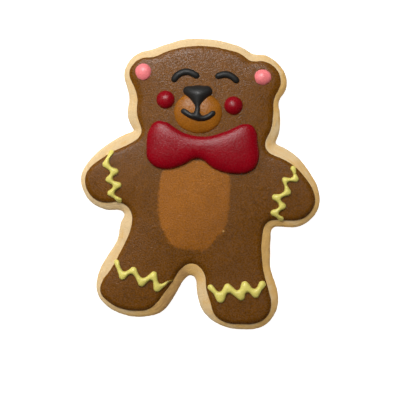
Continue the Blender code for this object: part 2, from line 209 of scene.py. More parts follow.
def traced(depth_of, low, high, cell):
    """The outline along which a depth, known all over an area, comes to zero."""
    columns, rows = (round(side / cell) for side in high - low)
    bm = bmesh.new()
    bmesh.ops.create_grid(bm, x_segments=columns, y_segments=rows, size=1.0)
    spots = np.array([vertex.co.xy for vertex in bm.verts])
    spots = low + (spots + 1.0) / 2.0 * (high - low)
    for vertex, (x, y), depth in zip(bm.verts, spots, depth_of(spots)):
        vertex.co = (x, y, depth)
    return sliced(bm, 0.0)


def enclosed_area(loop):
    """The area inside a loop, below zero for a clockwise one."""
    ahead = np.roll(loop, -1, axis=0)
    return (loop[:, 0] * ahead[:, 1] - loop[:, 1] * ahead[:, 0]).sum() / 2


def evened(loop, spacing, softness):
    """The closed loop with points at an even spacing, its corners eased over softness."""
    closed = np.vstack([loop, loop[:1]])
    along = np.concatenate([[0.0], np.cumsum(np.hypot(*np.diff(closed, axis=0).T))])
    spots = np.linspace(0.0, along[-1], round(along[-1] / spacing), endpoint=False)
    even = np.stack([np.interp(spots, along, column) for column in closed.T], axis=1)
    for _ in range(round(2 * (softness / spacing) ** 2)):
        even = (np.roll(even, 1, axis=0) + 2 * even + np.roll(even, -1, axis=0)) / 4
    return even


def inwards(loop):
    """The unit vector into a counter-clockwise loop at each of its points."""
    along = np.roll(loop, -1, axis=0) - np.roll(loop, 1, axis=0)
    along /= np.hypot(*along.T)[:, None]
    return np.stack([-along[:, 1], along[:, 0]], axis=1)


class Shoreline:
    """A closed outline that tells how far inside it a place lies in plan."""

    def __init__(self, loop):
        self.loop = loop
        self.inwards = inwards(loop)
        self.half_step = np.hypot(*(loop[1] - loop[0])) / 2
        self.tree = KDTree(len(loop))
        for index, (x, y) in enumerate(loop):
            self.tree.insert((x, y, 0.0), index)
        self.tree.balance()

    def depth(self, places):
        """How far inside the outline each place lies, below zero outside it."""
        found = [self.tree.find((x, y, 0.0))[1:] for x, y in places[:, :2]]
        index = np.array([item[0] for item in found])
        away = np.array([item[1] for item in found])
        side = ((places[:, :2] - self.loop[index]) * self.inwards[index]).sum(axis=1)
        past = np.sqrt(np.maximum(away**2 - side**2, 0.0)) - self.half_step
        return np.copysign(np.hypot(side, np.maximum(past, 0.0)), side)


def shore_of(node, height, growth=0.0, spacing=0.4 * MM, softness=0.7 * MM):
    """The shore of a solid at a height, with what the softness takes off grown back."""
    loop = evened(outline_at(node, height), spacing, softness)
    return Shoreline(loop - inwards(loop) * growth)


@functools.cache
def biscuit_shore():
    return shore_of("cookie", BISCUIT_TOP / 2, growth=0.1 * MM)


@functools.cache
def coat_shore():
    return shore_of("brown_icing", BISCUIT_TOP + 0.45 * MM, growth=0.15 * MM)


@functools.cache
def belly_shore():
    return shore_of("belly_patch", ICING_TOP - 0.5 * MM)


class Pool:
    """How full wet icing stands inside a shore: none at the shore, and 1 in its deepest part.

    The film of a pool pulls it level, and lets it fall to its shore within a reach. The fullness
    is worked out on a grid of cells, as its share of the depth, so that it can be read exactly
    at the shore too.
    """

    ROUNDS = 1200
    # In cells: the rim of the grid, the least depth that is inside, and how far past the shore
    # the film is drawn on.
    MARGIN = 4
    LEAST_DEPTH = 0.4
    OVERRUN = 2.0

    def __init__(self, shore, reach, cell):
        self.shore = shore
        self.cell = cell
        self.low = shore.loop.min(axis=0) - self.MARGIN * cell
        counts = np.ceil(np.ptp(shore.loop, axis=0) / cell).astype(int) + 2 * self.MARGIN
        grid = np.stack(np.meshgrid(*map(np.arange, counts), indexing="ij"), axis=-1)
        depth = shore.depth((self.low + cell * grid).reshape(-1, 2)).reshape(counts)
        self.share = self.levelled(depth, (reach / cell) ** 2)

    def levelled(self, depth, pull):
        """The film's level over its depth in each cell, with the highest level as 1."""
        least = self.LEAST_DEPTH * self.cell
        inside = depth > least
        near = depth > -self.OVERRUN * self.cell
        level = np.zeros(depth.shape)
        for _ in range(self.ROUNDS):
            level = (pull * self.around(level) + 1.0) / (1.0 + 4.0 * pull)
            share = np.where(inside, level / np.maximum(depth, least), 0.0)
            beyond = self.around(share) / np.maximum(self.around(inside), 1.0)
            level = np.where(inside, level, np.where(near, depth * beyond, 0.0))
        for _ in range(self.MARGIN):
            beyond = self.around(share) / np.maximum(self.around(share > 0.0), 1.0)
            share = np.where(share > 0.0, share, beyond)
        return share / level.max()

    @staticmethod
    def around(values):
        """The sum of the four cells beside each cell."""
        values = values.astype(float)
        return sum(np.roll(values, way, axis) for axis in (0, 1) for way in (-1, 1))

    def fullness(self, places):
        """How full the pool stands at each place, from 0 to 1."""
        spots = (places[:, :2] - self.low) / self.cell
        spots = np.clip(spots, 0.0, np.array(self.share.shape) - 1.001)
        x, y = spots.astype(int).T
        right, up = (spots - np.stack([x, y], axis=1)).T
        share = self.share[x, y] * (1 - right) * (1 - up) + self.share[x + 1, y] * right * (1 - up)
        share += self.share[x, y + 1] * (1 - right) * up + self.share[x + 1, y + 1] * right * up
        return np.clip(share * self.shore.depth(places), 0.0, 1.0)


# Heights of the biscuit and the coat.


# How an edge falls: straight for power 1, and a quarter round for power 2.
SHOULDER_POWER = 1.25
EDGE_POWER = 1.3
# How deep the coat's edge bites into the biscuit, and how far its crown stands over its solid.
EDGE_BITE = 0.1 * MM
FLOOD_LIFT = 0.4 * MM
# Where along Y the body's crown and edge grow to the head's, and the body's share of each.
NECK = (15.0 * MM, 38.0 * MM)
BODY_RISE = 0.75
BODY_EDGE = 0.66


def stray(places, size, seed, octaves=3):
    """Smooth unevenness at each place, from about -1 to 1, in waves of a size."""
    shift = Vector((seed * 7.31, seed * 3.17, seed * 5.73))
    return np.array(
        [noise.fractal(Vector(place) / size + shift, 1.0, 2.0, octaves) for place in places]
    )


def rounded_share(depth, reach, power):
    """The share of its full height that an edge has at a depth."""
    left = np.clip(1.0 - depth / reach, 0.0, 1.0)
    return (1.0 - left**power) ** (1.0 / power)


def head_share(places, on_body):
    """1 on the head and a given share on the body, with a soft change between them."""
    return on_body + (1.0 - on_body) * smooth_step(places[:, 1], *NECK)


def biscuit_height(places, dough):
    """The height of the biscuit's top over each place."""
    depth = biscuit_shore().depth(places)
    missing = 1.0 - rounded_share(depth, dough.shoulder_reach, SHOULDER_POWER)
    return BISCUIT_TOP - dough.shoulder_rise * missing


@functools.cache
def coat_pool(reach):
    return Pool(coat_shore(), reach, MM)


def flood_height(places, icing):
    """The height of the flooded icing over each place, but for its rounded edge."""
    missing = 1.0 - coat_pool(icing.crown_reach).fullness(places)
    rise = icing.crown_rise * head_share(places, BODY_RISE)
    ripple = icing.ripple * stray(places * (1.0, 1.0, 0.0), 9.0 * MM, seed=3)
    return ICING_TOP + FLOOD_LIFT - rise * missing + ripple


def coat_height(places, dough, icing):
    """The height of the coat over each place, down to the biscuit beyond its edge."""
    ground = biscuit_height(places, dough) - EDGE_BITE
    reach = icing.edge_reach * head_share(places, BODY_EDGE)
    share = rounded_share(coat_shore().depth(places), reach, EDGE_POWER)
    return ground + (flood_height(places, icing) - ground) * share


# Meshes.


# The size of each mesh's faces.
BISCUIT_CELL = 0.45 * MM
COAT_CELL = 0.33 * MM
BELLY_CELL = 0.35 * MM
BOW_CELL = 0.25 * MM
PIPING_CELL = 0.15 * MM


def new_piece(name, bm):
    """Puts a mesh in the scene as a piece of its own."""
    bmesh.ops.recalc_face_normals(bm, faces=bm.faces)
    mesh = bpy.data.meshes.new(name)
    bm.to_mesh(mesh)
    bm.free()
    piece = bpy.data.objects.new(name, mesh)
    bpy.context.scene.collection.objects.link(piece)
    return piece


def turned_edge(reach, rise, top, count):
    """A quarter round as (inset, height), from upright at the outside to level at the top."""
    turns = [math.pi / 2 * step / count for step in range(count + 1)]
    return [(reach * (1 - math.cos(turn)), top - rise * (1 - math.sin(turn))) for turn in turns]


def carried(name, loop, profile):
    """A closed piece: the outline carried along a profile of (inset, height), foot to top."""
    bm = bmesh.new()
    rings = []
    for inset, height in profile:
        ring = loop + inwards(loop) * inset
        rings.append([bm.verts.new((x, y, height)) for x, y in ring])
    for lower, upper in zip(rings, rings[1:]):
        for index, vertex in enumerate(lower):
            bm.faces.new((lower[index - 1], vertex, upper[index], upper[index - 1]))
    bm.faces.new(rings[0])
    bm.faces.new(rings[-1])
    return new_piece(name, bm)


def refined(piece, cell, smoothing=1):
    """Gives the piece an even mesh of small faces, with its creases eased."""
    even = piece.modifiers.new("even mesh", "REMESH")
    even.mode = "VOXEL"
    even.voxel_size = cell
    smooth = piece.modifiers.new("ease creases", "SMOOTH")
    smooth.factor = 0.5
    smooth.iterations = smoothing
    graph = bpy.context.evaluated_depsgraph_get()
    made = bpy.data.meshes.new_from_object(piece.evaluated_get(graph), depsgraph=graph)
    piece.modifiers.clear()
    coarse = piece.data
    piece.data = made
    bpy.data.meshes.remove(coarse)
    return piece


def plain_underside(piece):
    """Merges the small faces of a flat, hidden underside into one."""
    bm = bmesh.new()
    bm.from_mesh(piece.data)
    under = [face for face in bm.faces if face.normal.z < -0.999]
    bmesh.ops.dissolve_faces(bm, faces=under)
    bm.to_mesh(piece.data)
    bm.free()


def at_vertices(piece, what):
    """The vertices' places (co) or the ways they face (normal), a row each."""
    flat = np.empty(len(piece.data.vertices) * 3)
    piece.data.vertices.foreach_get(what, flat)
    return flat.reshape(-1, 3)


def places_of(piece):
    return at_vertices(piece, "co")


def facing_of(piece):
    return at_vertices(piece, "normal")


def move_to(piece, places):
    """Moves the vertices to new places, a row each."""
    piece.data.vertices.foreach_set("co", places.ravel())
    piece.data.update()


def note(piece, name, values):
    """Writes a number at each vertex for the finish to read."""
    attribute = piece.data.attributes.new(name, "FLOAT", "POINT")
    attribute.data.foreach_set("value", np.asarray(values, np.float32))


def finished(piece, node, material):
    """Dresses the piece and puts it in the place of its solid."""
    piece.data.shade_smooth()
    piece.data.materials.append(material)
    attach(piece, "root")
    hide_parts(node)


# Piped and pooled icing.


# How far below the coat's top a pool's foot and its rim lie, and the cells of its film.
POOL_FOOT = 0.6 * MM
POOL_RIM = 0.1 * MM
POOL_CELL = 0.25 * MM
# Half the width of the gaps that wet icing fills where piped lines meet.
CORNER_FILL = 0.8 * MM
# The grid that piped lines are drawn on: its cells, and how far it goes past the lines' ends.
STRAND_CELL = 0.2 * MM
STRAND_MARGIN = 4.0 * MM


def pooled(name, shore, reach, rise, power, cell=PIPING_CELL):
    """A pool of icing on level ground, rounded to its shore and sunk a little in the ground."""
    foot = ICING_TOP - POOL_FOOT
    rim = ICING_TOP - POOL_RIM
    top = ICING_TOP + rise
    piece = carried(name, shore.loop, [(0.0, foot), (0.0, top)])
    refined(piece, cell)
    places = places_of(piece)
    full = Pool(shore, reach, POOL_CELL).fullness(places) ** power
    up = (places[:, 2] - foot) / (top - foot)
    places[:, 2] = foot + up * (rim - foot + (top - rim) * full)
    move_to(piece, places)
    return refined(piece, cell, smoothing=3)


def settled(piece, dough, icing):
    """Lets a piece down with the coat where that falls towards its edge."""
    places = places_of(piece)
    places[:, 2] += coat_height(places, dough, icing) - ICING_TOP
    move_to(piece, places)


def strand_depth(marks, places):
    """How deep each place lies in a line through marks of x, y and width, and the width there."""
    deepest, widths = np.full((2, len(places)), -np.inf)
    for start, end in zip(marks, marks[1:]):
        along = end[:2] - start[:2]
        share = np.clip((places - start[:2]) @ along / (along @ along), 0.0, 1.0)
        away = np.hypot(*(places - start[:2] - share[:, None] * along).T)
        width = start[2] + share * (end[2] - start[2])
        nearer = width / 2 - away > deepest
        widths = np.where(nearer, width, widths)
        deepest = np.where(nearer, width / 2 - away, deepest)
    return deepest, widths


def strand_shore(*strands):
    """The shore of piped lines that meet, with their inner corners filled as wet icing fills them.

    Each strand is a run of marks, as x, y and width in millimetres.
    """
    strands = [np.array(marks) * MM for marks in strands]
    ends = np.vstack(strands)[:, :2]
    area = (ends.min(axis=0) - STRAND_MARGIN, ends.max(axis=0) + STRAND_MARGIN, STRAND_CELL)

    def depth(spots):
        return np.maximum.reduce([strand_depth(marks, spots)[0] for marks in strands])

    wide = traced(lambda spots: depth(spots) + CORNER_FILL, *area)
    wide = Shoreline(evened(wide, 0.1 * MM, 0.1 * MM))
    loop = traced(lambda spots: wide.depth(spots) - CORNER_FILL, *area)
    return Shoreline(evened(loop, 0.15 * MM, 0.2 * MM))


# Finishes.


class Finish:
    """A material whose nodes are added as its look is described."""

    def __init__(self, name, roughness, sheen):
        self.material = bpy.data.materials.new(name)
        self.material.use_nodes = True
        self.tree = self.material.node_tree
        self.shader = self.tree.nodes["Principled BSDF"]
        self.shader.inputs["Roughness"].default_value = roughness
        self.shader.inputs["Specular IOR Level"].default_value = sheen
        self.place = self.tree.nodes.new("ShaderNodeTexCoord").outputs["Object"]

    def join(self, source, socket):
        self.tree.links.new(source, socket)

    def mottle(self, size, detail=2.0, contrast=1.0):
        """Cloudy noise from 0 to 1 in patches of a size."""
        made = self.tree.nodes.new("ShaderNodeTexNoise")
        made.inputs["Scale"].default_value = 1.0 / size
        made.inputs["Detail"].default_value = detail
        self.join(self.place, made.inputs["Vector"])
        half = 0.25 / contrast
        return self.ranged(made.outputs["Fac"], (0.5 - half, 0.5 + half), (0.0, 1.0))

    def along(self, way):
        """How far each place lies along a direction."""
        made = self.tree.nodes.new("ShaderNodeVectorMath")
        made.operation = "DOT_PRODUCT"
        made.inputs[1].default_value = way
        self.join(self.place, made.inputs[0])
        return made.outputs["Value"]

    def noted(self, name):
        """What was noted at the vertices under a name."""
        made = self.tree.nodes.new("ShaderNodeAttribute")
        made.attribute_name = name
        return made.outputs["Fac"]

    def ranged(self, value, given, wanted=(0.0, 1.0)):
        """A value brought from one range to another, and held to it."""
        made = self.tree.nodes.new("ShaderNodeMapRange")
        self.join(value, made.inputs["Value"])
        for socket, number in zip(("From Min", "From Max", "To Min", "To Max"), (*given, *wanted)):
            made.inputs[socket].default_value = number
        return made.outputs["Result"]

    def combined(self, how, first, second):
        """The sum or product of two values, each a number or another node's output."""
        made = self.tree.nodes.new("ShaderNodeMath")
        made.operation = how
        for socket, value in zip(made.inputs, (first, second)):
            if isinstance(value, float):
                socket.default_value = value
            else:
                self.join(value, socket)
        return made.outputs[0]

    def mixed(self, share, first, second):
        """A colour between two, each given as numbers or as another node's output."""
        made = self.tree.nodes.new("ShaderNodeMix")
        made.data_type = "RGBA"
        self.join(share, made.inputs["Factor"])
        for socket, value in ((made.inputs[6], first), (made.inputs[7], second)):
            if isinstance(value, bpy.types.NodeSocket):
                self.join(value, socket)
            else:
                socket.default_value = (*value, 1.0)
        return made.outputs[2]

    def paint(self, value):
        self.join(value, self.shader.inputs["Base Color"])

    def gloss(self, value):
        self.join(value, self.shader.inputs["Roughness"])

    def relief(self, value, depth):
        """Fine relief of a depth, too small for the mesh."""
        made = self.tree.nodes.new("ShaderNodeBump")
        made.inputs["Strength"].default_value = 1.0
        made.inputs["Distance"].default_value = depth
        self.join(value, made.inputs["Height"])
        self.join(made.outputs["Normal"], self.shader.inputs["Normal"])


# The size of the sugar's grains, and two ways along which colours change: up, and to the lower
# right, where painted shade darkens the coat and the belly away from the lights.
GRAIN_SIZE = 0.5 * MM
UP = (0.0, 0.0, 1.0)
TO_LOWER_RIGHT = (0.8, -0.6, 0.0)
# How deep they are on the pieces whose grain is finer than the coat's.
BOW_GRAIN = 0.06 * MM
FACE_GRAIN = 0.03 * MM
PIPING_GRAIN = 0.02 * MM
# The crumb on the belly, and the painted sheen on the muzzle.
CRUMB_COLOUR = (0.62, 0.36, 0.12)
SHEEN_COLOUR = (0.62, 0.42, 0.30)


def scaled(shade, factor):
    """A colour made lighter or darker by a factor."""
    return tuple(min(1.0, channel * factor) for channel in shade)


def dough_finish(dough):
    """Matt dough, mottled pale and golden, painted browner as shade on the sides turned from the
    lights, and browner towards the tray, partly as painted shade.
    """
    finish = Finish("baked dough", 0.75, 0.3)
    grain = finish.mottle(0.7 * MM, 3.0)
    patches = finish.combined("MULTIPLY", grain, 0.5)
    patches = finish.combined("ADD", finish.mottle(4.0 * MM), patches)
    patches = finish.ranged(patches, (0.2, 1.3), (-0.4, 0.4))
    # How browned the dough is, with painted shade on the sides turned from the lights, and painted
    # light and shade in spots.
    baking_and_shade = finish.combined("ADD", finish.noted("browned_and_shaded"), patches)
    top = finish.mixed(finish.ranged(baking_and_shade, (0.0, 1.0)), dough.pale, dough.golden)
    top = finish.mixed(finish.ranged(baking_and_shade, (1.2, 2.4)), top, dough.baked)
    # Darker towards the foot: baked colour, and partly painted shade on the lower sides.
    low = finish.ranged(finish.along(UP), (0.4 * MM, 5.4 * MM), (0.9, 0.0))
    low = finish.combined("MULTIPLY", low, finish.mottle(3.0 * MM))
    finish.paint(finish.mixed(low, top, dough.baked))
    finish.gloss(finish.ranged(grain, (0.0, 1.0), (0.65, 0.85)))
    finish.relief(finish.combined("ADD", grain, finish.mottle(0.3 * MM)), dough.crumb)
    return finish.material


def clouded(finish, shade, spread, specks=0.12):
    """A colour that varies in soft clouds and in fine specks."""
    cloud = finish.ranged(finish.mottle(5.0 * MM), (0.0, 1.0), (0.0, spread))
    speck = finish.ranged(finish.mottle(GRAIN_SIZE, 3.0), (0.0, 1.0), (0.0, specks))
    most = spread + specks
    share = finish.ranged(finish.combined("ADD", cloud, speck), (0.0, most))
    return finish.mixed(share, scaled(shade, 1.0 - most), scaled(shade, 1.0 + most))


def sugar_skin(finish, grain, dullest=0.1):
    """Fine sugar grain of a depth, under a skin with dull specks in its gloss."""
    roughness = finish.shader.inputs["Roughness"].default_value
    specks = finish.mottle(0.6 * MM, 1.0, 2.5)
    finish.gloss(finish.ranged(specks, (0.4, 0.9), (roughness - 0.05, roughness + dullest)))
    finish.relief(finish.mottle(GRAIN_SIZE, 3.0), grain)


def icing_finish(name, shade, roughness, sheen, grain):
    """Set icing: nearly even colour, a fine sugar grain and a satin skin."""
    finish = Finish(name, roughness, sheen)
    finish.paint(clouded(finish, shade, 0.1))
    sugar_skin(finish, grain)
    return finish.material


def painted_falloff(finish, shades, stretch, spread, specks):
    """A clouded colour that goes from one shade to another over a stretch to the lower right, as
    painted light and shade falling off from the lights.
    """
    share = finish.ranged(finish.along(TO_LOWER_RIGHT), stretch)
    first, second = [clouded(finish, shade, spread, specks) for shade in shades]
    return finish.mixed(share, first, second)


def flood_finish(name, icing, roughness, sheen):
    """Brown icing that runs softly into caramel at the belly's edge, with a crumb stuck there, both
    painted darker to the lower right as shade.
    """
    finish = Finish(name, roughness, sheen)
    feather = finish.ranged(finish.mottle(1.6 * MM, 3.0), (0.0, 1.0), (-0.5 * MM, 0.5 * MM))
    depth = finish.combined("ADD", finish.noted("belly depth"), feather)
    over_belly = finish.ranged(depth, (-0.45 * MM, 0.45 * MM))
    # Lighter and darker copies of the brown and the caramel: painted light to the upper left and
    # painted shade to the lower right.
    lit_and_shaded_browns = (scaled(icing.brown, 1.05), scaled(icing.brown, 0.95))
    brown = painted_falloff(finish, lit_and_shaded_browns, (-35.0 * MM, 35.0 * MM), spread=0.1, specks=0.45)
    lit_and_shaded_caramels = (icing.caramel, scaled(icing.caramel, 0.78))
    caramel = painted_falloff(finish, lit_and_shaded_caramels, (0.0, 15.0 * MM), spread=0.08, specks=0.35)
    crumb = finish.ranged(finish.noted("crumb away"), (0.25 * MM, 0.5 * MM), (0.8, 0.0))
    finish.paint(finish.mixed(crumb, finish.mixed(over_belly, brown, caramel), CRUMB_COLOUR))
    sugar_skin(finish, icing.grain, 0.4)
    return finish.material


def muzzle_finish(icing):
    """Caramel icing with a painted sheen beside the nose, in pale, speckled patches."""
    finish = Finish("caramel muzzle", 0.26, 0.3)
    specks = finish.ranged(finish.mottle(0.9 * MM, 3.0, 2.5), (0.0, 1.0), (0.0, 0.2))
    painted_sheen = finish.combined("MULTIPLY", finish.noted("painted_sheen"), specks)
    caramel = clouded(finish, scaled(icing.caramel, 0.94), 0.1, 0.25)
    finish.paint(finish.mixed(painted_sheen, caramel, SHEEN_COLOUR))
    sugar_skin(finish, icing.grain)
    return finish.material


def piping_finish(icing):
    """Yellow icing that turns mustard where the line is thin over the coat."""
    finish = Finish("yellow icing", 0.28, 0.35)
    thick = finish.ranged(finish.noted("width"), (0.95 * MM, 1.3 * MM))
    finish.paint(finish.mixed(thick, icing.mustard, clouded(finish, icing.yellow, 0.08)))
    sugar_skin(finish, PIPING_GRAIN)
    return finish.material


# Pieces.


class Step:
    """What the operators share."""

    bl_options = {"REGISTER", "UNDO"}


# The way in plan towards the rim's side turned from the lights, where it is painted browner as
# shade, and how much colour the dough took all over, as painted shade for facing that way, and in
# streaks.
SHADED_SIDE = (0.9, -0.45)
EVEN_BROWNING = 0.4
SHADE_BROWNING = 1.3
STREAK_BROWNING = 0.7
# How many times longer than wide the streaks in the rim are.
STREAK_LENGTH = 9
# Where the rim is painted darker as shade (beside the left leg, above the crotch, at the right
# waist) or paler as painted light (the right shoulder, the lower left arm), and paler in colour at
# the crown: x, y and reach in millimetres, and how much.
BAKED_AND_SHADED_SPOTS = (
    (-9.0, -42.0, 14.0, 1.3), (0.0, -32.0, 9.0, 0.7), (30.0, -22.0, 12.0, 0.5),
    (30.0, 19.0, 14.0, -0.5), (-36.0, -13.0, 14.0, -0.5), (1.0, 51.0, 22.0, -0.45),
)


def streaks(places):
    """Unevenness drawn out along the biscuit's outline, from about -1 to 1."""
    x, y = places[:, :2].T / STREAK_LENGTH
    depth = biscuit_shore().depth(places)
    return stray(np.stack([x, y, depth], axis=1), 0.8 * MM, seed=8)


def browning_and_shade(places, facing):
    """How much colour the dough took, with painted shade on the side turned from the lights and
    painted light and shade in spots: 0 where it is pale, 1 where golden and 2 where baked.
    """
    towards_shade = facing[:, 0] * SHADED_SIDE[0] + facing[:, 1] * SHADED_SIDE[1]
    browned_and_shaded = np.clip(EVEN_BROWNING + SHADE_BROWNING * towards_shade, 0.0, 1.0)
    browned_and_shaded += STREAK_BROWNING * streaks(places)
    for *spot, reach, more in BAKED_AND_SHADED_SPOTS:
        reach *= MM
        browned_and_shaded += more * (1.0 - smooth_step(away_from(spot, places), 0.3 * reach, reach))
    return browned_and_shaded


class COOKIE_OT_biscuit(Step, Operator):
    """Bake the biscuit under the icing"""

    bl_idname = "cookie.biscuit"
    bl_label = "Biscuit"

    def execute(self, context):
        dough = context.scene.cookie_dough
        bevel = dough.foot_bevel
        profile = [(bevel, 0.0), (0.3 * bevel, 0.25 * bevel), (0.0, bevel)]
        profile += turned_edge(0.5 * MM, 0.5 * MM, BISCUIT_TOP, 4)
        piece = carried("biscuit", biscuit_shore().loop, profile)
        refined(piece, BISCUIT_CELL)
        places = places_of(piece)
        fall = BISCUIT_TOP - biscuit_height(places, dough)
        places[:, 2] -= fall * smooth_step(places[:, 2], 3.0 * MM, BISCUIT_TOP - 0.5 * MM)
        move_to(piece, places)
        facing = facing_of(piece)
        off_the_tray = np.clip(places[:, 2] / MM, 0.0, 1.0)
        rough = dough.unevenness * stray(places, 7.0 * MM, seed=1)
        rough += dough.crumb * stray(places, 1.2 * MM, seed=2)
        move_to(piece, places + facing * (rough * off_the_tray)[:, None])
        note(piece, "browned_and_shaded", browning_and_shade(places, facing))
        finished(piece, "cookie", dough_finish(dough))
        return {"FINISHED"}


# The crumb stuck in the belly's lower right edge: its x and y in millimetres, its height, and
# where that falls off, from its middle.
CRUMB_SPOT = (10.1, -17.4)
CRUMB_RISE = 0.2 * MM
CRUMB_FALL = (0.1 * MM, 0.5 * MM)
# How far the brown lies below the belly where the belly covers it.
BELLY_POCKET = 0.5 * MM


class COOKIE_OT_coat(Step, Operator):
    """Flood the biscuit with brown icing"""

    bl_idname = "cookie.coat"
    bl_label = "Brown icing"

    def execute(self, context):
        dough = context.scene.cookie_dough
        icing = context.scene.cookie_icing
        foot = BISCUIT_TOP - 1.6 * MM
        brim = BISCUIT_TOP - 0.9 * MM
        profile = [(0.5 * MM, foot), (0.0, foot + 0.3 * MM)]
        profile += turned_edge(0.6 * MM, ICING_TOP - brim, ICING_TOP, 8)
        piece = carried("brown_coat", coat_shore().loop, profile)
        refined(piece, COAT_CELL)
        plain_underside(piece)
        places = places_of(piece)
        inside_belly = belly_shore().depth(places)
        note(piece, "belly depth", inside_belly)
        note(piece, "crumb away", away_from(CRUMB_SPOT, places))
        fall = ICING_TOP - coat_height(places, dough, icing)
        fall += BELLY_POCKET * smooth_step(inside_belly, 0.6 * MM, 1.6 * MM)
        places[:, 2] -= fall * smooth_step(places[:, 2], foot, ICING_TOP - 0.4 * MM)
        move_to(piece, places)
        material = flood_finish("brown icing", icing, roughness=0.25, sheen=0.33)
        finished(piece, "brown_icing", material)
        return {"FINISHED"}


# How far the belly laps over the brown, and the rings left in it by stirring.
BELLY_LAP = 1.0 * MM
STIRS = 8
STIR_DEPTH = 0.008 * MM


def stirring(places):
    """The faint uneven rings that were left where the belly was stirred level."""
    wander = 1.2 * stray(places, 8.0 * MM, seed=5, octaves=2)
    rings = np.sin(2 * np.pi * (STIRS * across("belly_patch", places) + wander))
    strength = np.clip(0.5 + stray(places, 6.0 * MM, seed=6, octaves=2), 0.0, 1.0)
    return STIR_DEPTH * rings * strength


class COOKIE_OT_belly(Step, Operator):
    """Flood the caramel belly, level with the brown"""

    bl_idname = "cookie.belly"
    bl_label = "Belly"

    def execute(self, context):
        icing = context.scene.cookie_icing
        profile = [(0.3 * MM, ICING_TOP - 0.9 * MM), (-BELLY_LAP, ICING_TOP - 0.5 * MM)]
        profile += [(-BELLY_LAP, ICING_TOP - 0.2 * MM), (0.2 * MM - BELLY_LAP, ICING_TOP)]
        piece = carried("belly", belly_shore().loop, profile)
        refined(piece, BELLY_CELL)
        places = places_of(piece)
        depth = belly_shore().depth(places)
        crumb_away = away_from(CRUMB_SPOT, places)
        note(piece, "belly depth", depth)
        note(piece, "crumb away", crumb_away)
        proud = 0.03 * MM * np.tanh(depth / (0.8 * MM))
        proud -= 0.25 * MM * smooth_step(-depth, 0.3 * MM, BELLY_LAP)
        level = flood_height(places, icing) + proud + stirring(places)
        level += CRUMB_RISE * (1.0 - smooth_step(crumb_away, *CRUMB_FALL))
        places[:, 2] += np.where(facing_of(piece)[:, 2] > 0.3, level - ICING_TOP, 0.0)
        move_to(piece, places)
        material = flood_finish("caramel belly", icing, roughness=0.28, sheen=0.3)
        finished(piece, "belly_patch", material)
        return {"FINISHED"}


# A dot is the upper part of a ball, a little more pointed, over a flattened lower part that is
# sunk in the coat.
DOT_POWER = 1.25
DOT_UNDERSIDE = 0.1
DOT_FOOT = 0.12 * MM
# How high the muzzle stands next to its solid, and how its height falls off to its rim.
MUZZLE_FILL = 1.2
MUZZLE_POWER = 0.62
# What lies over the muzzle comes down from it between these places along Y.
OFF_MUZZLE = (26.5 * MM, 32.5 * MM)
# The middles of the two pale patches of painted sheen on the muzzle, as x and y in millimetres, and
# where they fade, from their middles.
SHEEN_SPOTS = ((-8.0, 29.2), (-1.6, 28.8))
SHEEN_FADE = (0.2 * MM, 2.4 * MM)


def dome(name, node, seed, unevenness, dough, icing, fill=1.0):
    """A pooled dot in a solid's box, sunk a little in the coat."""
    middle, reach = middle_and_reach(node)
    bm = bmesh.new()
    bmesh.ops.create_icosphere(bm, subdivisions=5, radius=1.0)
    piece = new_piece(name, bm)
    places = places_of(piece)
    places *= 1.0 + unevenness * stray(places, 1.1, seed, 2)[:, None]
    up = places[:, 2]
    places[:, 2] = np.where(up < 0.0, DOT_UNDERSIDE * up, np.abs(up) ** DOT_POWER)
    foot = ICING_TOP - DOT_FOOT
    places[:, 0] = middle.x + places[:, 0] * reach.x
    places[:, 1] = middle.y + places[:, 1] * reach.y
    places[:, 2] = foot + fill * places[:, 2] * (middle.z + reach.z - foot)
    move_to(piece, places)
    settled(piece, dough, icing)
    return piece


def over_muzzle(piece):
    """Lifts what lies over the muzzle by the muzzle's height there."""
    places = places_of(piece)
    rise = MUZZLE_FILL * (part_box("muzzle")[1].z - ICING_TOP)
    rise *= np.clip(1.0 - across("muzzle", places) ** 2, 0.0, 1.0) ** MUZZLE_POWER
    places[:, 2] += rise * (1.0 - smooth_step(places[:, 1], *OFF_MUZZLE))
    move_to(piece, places)


class COOKIE_OT_muzzle(Step, Operator):
    """Pool the muzzle under the nose"""

    bl_idname = "cookie.muzzle"
    bl_label = "Muzzle"

    def execute(self, context):
        dough = context.scene.cookie_dough
        icing = context.scene.cookie_icing
        piece = dome("muzzle_dome", "muzzle", 11, 0.02, dough, icing, MUZZLE_FILL)
        places = places_of(piece)
        nearest = np.minimum.reduce([away_from(spot, places) for spot in SHEEN_SPOTS])
        note(piece, "painted_sheen", 1.0 - smooth_step(nearest, *SHEEN_FADE))
        finished(piece, "muzzle", muzzle_finish(icing))
        return {"FINISHED"}


class COOKIE_OT_dots(Step, Operator):
    """Pool the two cheeks and the two ear dots"""

    bl_idname = "cookie.dots"
    bl_label = "Cheeks and ear dots"

    def execute(self, context):
        dough = context.scene.cookie_dough
        icing = context.scene.cookie_icing
        red = icing_finish("red dot icing", icing.red, 0.3, 0.36, FACE_GRAIN)
        pink = icing_finish("pink dot icing", icing.pink, 0.3, 0.45, FACE_GRAIN)
        for number, side in enumerate(("left", "right")):
            cheek = dome(f"cheek_dot_{side}", f"cheek_{side}", 21 + number, 0.03, dough, icing)
            finished(cheek, f"cheek_{side}", red)
            ear = dome(f"ear_dome_{side}", f"ear_dot_{side}", 31 + number, 0.06, dough, icing)
            finished(ear, f"ear_dot_{side}", pink)
        return {"FINISHED"}


# The height at which the eyes' solids are widest.
EYE_WIDEST = ICING_TOP + 0.42 * MM
